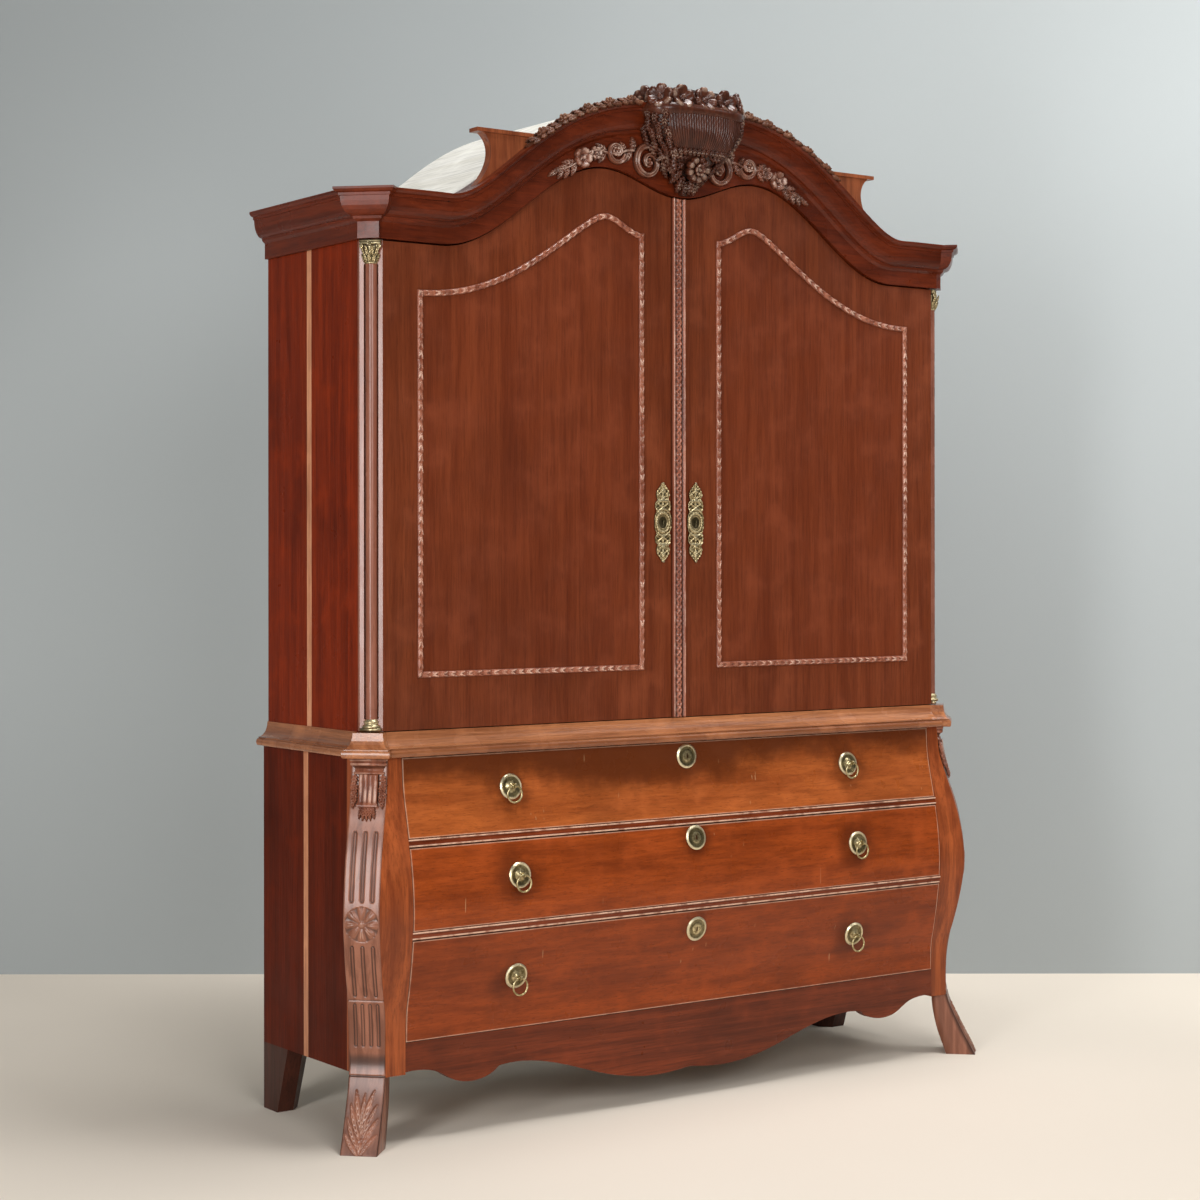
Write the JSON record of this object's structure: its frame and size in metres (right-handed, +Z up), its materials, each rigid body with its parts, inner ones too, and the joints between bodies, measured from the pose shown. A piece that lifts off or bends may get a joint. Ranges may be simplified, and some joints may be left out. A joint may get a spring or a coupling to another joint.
{
  "type": "kas cupboard",
  "caption": "Two-door linen cupboard with an arched, carved cornice on a bombe chest of drawers with sabre feet and brass ring pulls.",
  "frame": {"origin": "on the floor, in the middle of the plan's bounding box", "axes": "+X to the viewer's right along the front, +Y towards the back, +Z up; the doors face -Y"},
  "size_m": [1.948, 0.595, 2.462],
  "materials": {
    "case_wood": "glossy red-brown french polish",
    "side_wood": "glossy deep red-brown polish",
    "drawer_wood": "worn orange-brown polish",
    "carved_wood": "polished carving worn on its high edges",
    "raw_wood": "unfinished, dry and dusty",
    "filler_wood": "thin orange polish",
    "brass": "aged, dull with worn high spots",
    "lock_iron": "dark forged iron"
  },
  "bodies": {
    "case": {"apron": "case_wood", "back_feet": "case_wood", "case_back": "raw_wood", "case_floor": "raw_wood", "case_roof": "raw_wood", "case_shelves": "raw_wood", "case_side_left": "side_wood", "case_side_right": "side_wood", "chest_back": "raw_wood", "chest_corner_post_left": "case_wood", "chest_corner_post_right": "case_wood", "chest_floor": "raw_wood", "chest_lid": "raw_wood", "chest_side_left": "side_wood", "chest_side_right": "side_wood", "cornice_front": "case_wood", "cornice_returns": "case_wood", "crest_cartouche": "carved_wood", "crest_garlands": "carved_wood", "drawer_rails": "case_wood", "drawer_runners": "raw_wood", "filler_strips": "filler_wood", "frieze_board": "case_wood", "pilaster_capitals": "carved_wood", "pilaster_left": "carved_wood", "pilaster_right": "carved_wood", "shelf_cleats": "raw_wood", "vase_stands": "carved_wood", "waist_moulding_front": "case_wood", "waist_returns": "case_wood"},
    "door_right": {"astragal": "carved_wood", "door_right_brasses": "brass", "door_right_column": "carved_wood", "door_right_corner_stile": "case_wood", "door_right_frame": "case_wood", "door_right_lock": "lock_iron", "door_right_moulding": "carved_wood", "door_right_panel": "case_wood"},
    "door_left": {"door_left_brasses": "brass", "door_left_column": "carved_wood", "door_left_corner_stile": "case_wood", "door_left_frame": "case_wood", "door_left_moulding": "carved_wood", "door_left_panel": "case_wood"},
    "drawer_1": {"drawer_1_box": "raw_wood", "drawer_1_brasses": "brass", "drawer_1_front": "drawer_wood"},
    "drawer_1_ring_left": {"drawer_1_ring_left": "brass"},
    "drawer_1_ring_right": {"drawer_1_ring_right": "brass"},
    "drawer_2": {"drawer_2_box": "raw_wood", "drawer_2_brasses": "brass", "drawer_2_front": "drawer_wood"},
    "drawer_2_ring_left": {"drawer_2_ring_left": "brass"},
    "drawer_2_ring_right": {"drawer_2_ring_right": "brass"},
    "drawer_3": {"drawer_3_box": "raw_wood", "drawer_3_brasses": "brass", "drawer_3_front": "drawer_wood"},
    "drawer_3_ring_left": {"drawer_3_ring_left": "brass"},
    "drawer_3_ring_right": {"drawer_3_ring_right": "brass"}
  },
  "joints": [
    {"name": "door_left_hinge", "type": "hinge", "parent": "case", "child": "door_left", "pos_m": [-0.877, -0.1385, 0.92], "axis": [0, 0, -1], "range_deg": [0, 95]},
    {"name": "door_right_hinge", "type": "hinge", "parent": "case", "child": "door_right", "pos_m": [0.877, -0.1385, 0.92], "axis": [0, 0, 1], "range_deg": [0, 95]},
    {"name": "drawer_1_slide", "type": "slide", "parent": "case", "child": "drawer_1", "axis": [0, -1, 0], "range_m": [0, 0.34]},
    {"name": "drawer_2_slide", "type": "slide", "parent": "case", "child": "drawer_2", "axis": [0, -1, 0], "range_m": [0, 0.34]},
    {"name": "drawer_3_slide", "type": "slide", "parent": "case", "child": "drawer_3", "axis": [0, -1, 0], "range_m": [0, 0.34]},
    {"name": "drawer_1_ring_left_swing", "type": "hinge", "parent": "drawer_1", "child": "drawer_1_ring_left", "pos_m": [-0.52, -0.22761, 0.79156], "axis": [-1, 0, 0], "range_deg": [-5, 140]},
    {"name": "drawer_1_ring_right_swing", "type": "hinge", "parent": "drawer_1", "child": "drawer_1_ring_right", "pos_m": [0.52, -0.22761, 0.79156], "axis": [-1, 0, 0], "range_deg": [-5, 140]},
    {"name": "drawer_2_ring_left_swing", "type": "hinge", "parent": "drawer_2", "child": "drawer_2_ring_left", "pos_m": [-0.52, -0.2666, 0.58915], "axis": [-1, 0, 0], "range_deg": [-5, 140]},
    {"name": "drawer_2_ring_right_swing", "type": "hinge", "parent": "drawer_2", "child": "drawer_2_ring_right", "pos_m": [0.52, -0.2666, 0.58915], "axis": [-1, 0, 0], "range_deg": [-5, 140]},
    {"name": "drawer_3_ring_left_swing", "type": "hinge", "parent": "drawer_3", "child": "drawer_3_ring_left", "pos_m": [-0.52, -0.24984, 0.34921], "axis": [-1, 0, 0], "range_deg": [-5, 140]},
    {"name": "drawer_3_ring_right_swing", "type": "hinge", "parent": "drawer_3", "child": "drawer_3_ring_right", "pos_m": [0.52, -0.24984, 0.34921], "axis": [-1, 0, 0], "range_deg": [-5, 140]}
  ]
}
